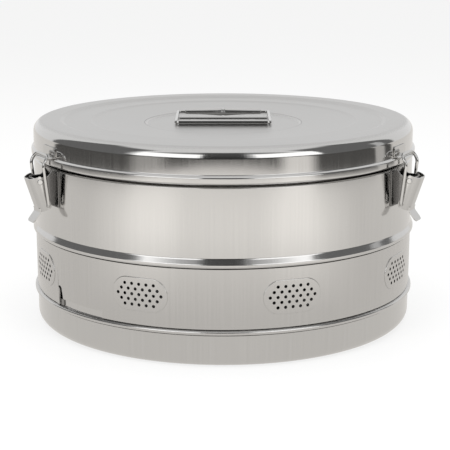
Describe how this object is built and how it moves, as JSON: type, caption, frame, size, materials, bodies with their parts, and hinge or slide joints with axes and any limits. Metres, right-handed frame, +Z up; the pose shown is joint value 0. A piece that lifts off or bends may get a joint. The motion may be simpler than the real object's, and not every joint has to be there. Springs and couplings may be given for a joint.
{
  "type": "sterilization container",
  "caption": "Round stainless steel sterilizing drum with a turning vent band, a lift-off lid with a folding handle, and over-centre wire latches.",
  "frame": {"origin": "centre of the drum's base, on the surface it stands on", "axes": "+Z up along the drum's axis, -Y towards the front of the picture, +X to the right"},
  "size_m": [0.3789, 0.4004, 0.1989],
  "materials": {
    "satin_steel": "satin pressed stainless sheet",
    "band_steel": "brushed round the drum",
    "bright_steel": "polished stainless fittings and wire",
    "seal_rubber": "pale silicone cord"
  },
  "bodies": {
    "drum": {"drum_shell": "satin_steel", "drum_base": "satin_steel", "band_stop": "satin_steel", "latch_base_1": "bright_steel", "latch_base_2": "bright_steel", "latch_base_3": "bright_steel"},
    "band": {"vent_band": "band_steel", "band_rivets": "bright_steel"},
    "lid": {"lid": "satin_steel", "lid_seal": "seal_rubber", "handle_bracket": "bright_steel", "handle_rivets": "bright_steel", "keeper_1": "bright_steel", "keeper_2": "bright_steel", "keeper_3": "bright_steel"},
    "handle": {"handle_grip": "bright_steel"},
    "lever_body_1": {"lever_1": "bright_steel", "lever_pin_1": "bright_steel"},
    "bail_body_1": {"bail_1": "bright_steel"},
    "lever_body_2": {"lever_2": "bright_steel", "lever_pin_2": "bright_steel"},
    "bail_body_2": {"bail_2": "bright_steel"},
    "lever_body_3": {"lever_3": "bright_steel", "lever_pin_3": "bright_steel"},
    "bail_body_3": {"bail_3": "bright_steel"}
  },
  "joints": [
    {"name": "band_turn", "type": "hinge", "parent": "drum", "child": "band", "pos_m": [0, 0, 0.0627], "axis": [0, 0, 1], "range_deg": [-17, 0]},
    {"name": "lid_lift", "type": "slide", "parent": "drum", "child": "lid", "axis": [0, 0, 1], "range_m": [0, 0.04]},
    {"name": "handle_fold", "type": "hinge", "parent": "lid", "child": "handle", "pos_m": [0, -0.0135, 0.19325], "axis": [1, 0, 0], "range_deg": [0, 100]},
    {"name": "lever_1_open", "type": "hinge", "parent": "drum", "child": "lever_body_1", "pos_m": [-0.17306, -0.10399, 0.153], "axis": [-0.515, 0.8572, 0], "range_deg": [0, 90.01]},
    {"name": "bail_1_swing", "type": "hinge", "parent": "lever_body_1", "child": "bail_body_1", "pos_m": [-0.16715, -0.10043, 0.13], "axis": [-0.515, 0.8572, 0], "range_deg": [-240.01, 0]},
    {"name": "lever_2_open", "type": "hinge", "parent": "drum", "child": "lever_body_2", "pos_m": [0.17659, -0.09788, 0.153], "axis": [-0.4848, -0.8746, 0], "range_deg": [0, 90.01]},
    {"name": "bail_2_swing", "type": "hinge", "parent": "lever_body_2", "child": "bail_body_2", "pos_m": [0.17055, -0.09454, 0.13], "axis": [-0.4848, -0.8746, 0], "range_deg": [-240.01, 0]},
    {"name": "lever_3_open", "type": "hinge", "parent": "drum", "child": "lever_body_3", "pos_m": [-0.00352, 0.20187, 0.153], "axis": [0.9998, 0.0175, 0], "range_deg": [0, 90.01]},
    {"name": "bail_3_swing", "type": "hinge", "parent": "lever_body_3", "child": "bail_body_3", "pos_m": [-0.0034, 0.19497, 0.13], "axis": [0.9998, 0.0175, 0], "range_deg": [-240.01, 0]}
  ],
  "couplings": [
    {"joint": "lever_1_open", "follows": "lid_lift", "rad_per_m": 39.27},
    {"joint": "bail_1_swing", "follows": "lid_lift", "rad_per_m": -104.72},
    {"joint": "lever_2_open", "follows": "lid_lift", "rad_per_m": 39.27},
    {"joint": "bail_2_swing", "follows": "lid_lift", "rad_per_m": -104.72},
    {"joint": "lever_3_open", "follows": "lid_lift", "rad_per_m": 39.27},
    {"joint": "bail_3_swing", "follows": "lid_lift", "rad_per_m": -104.72}
  ]
}
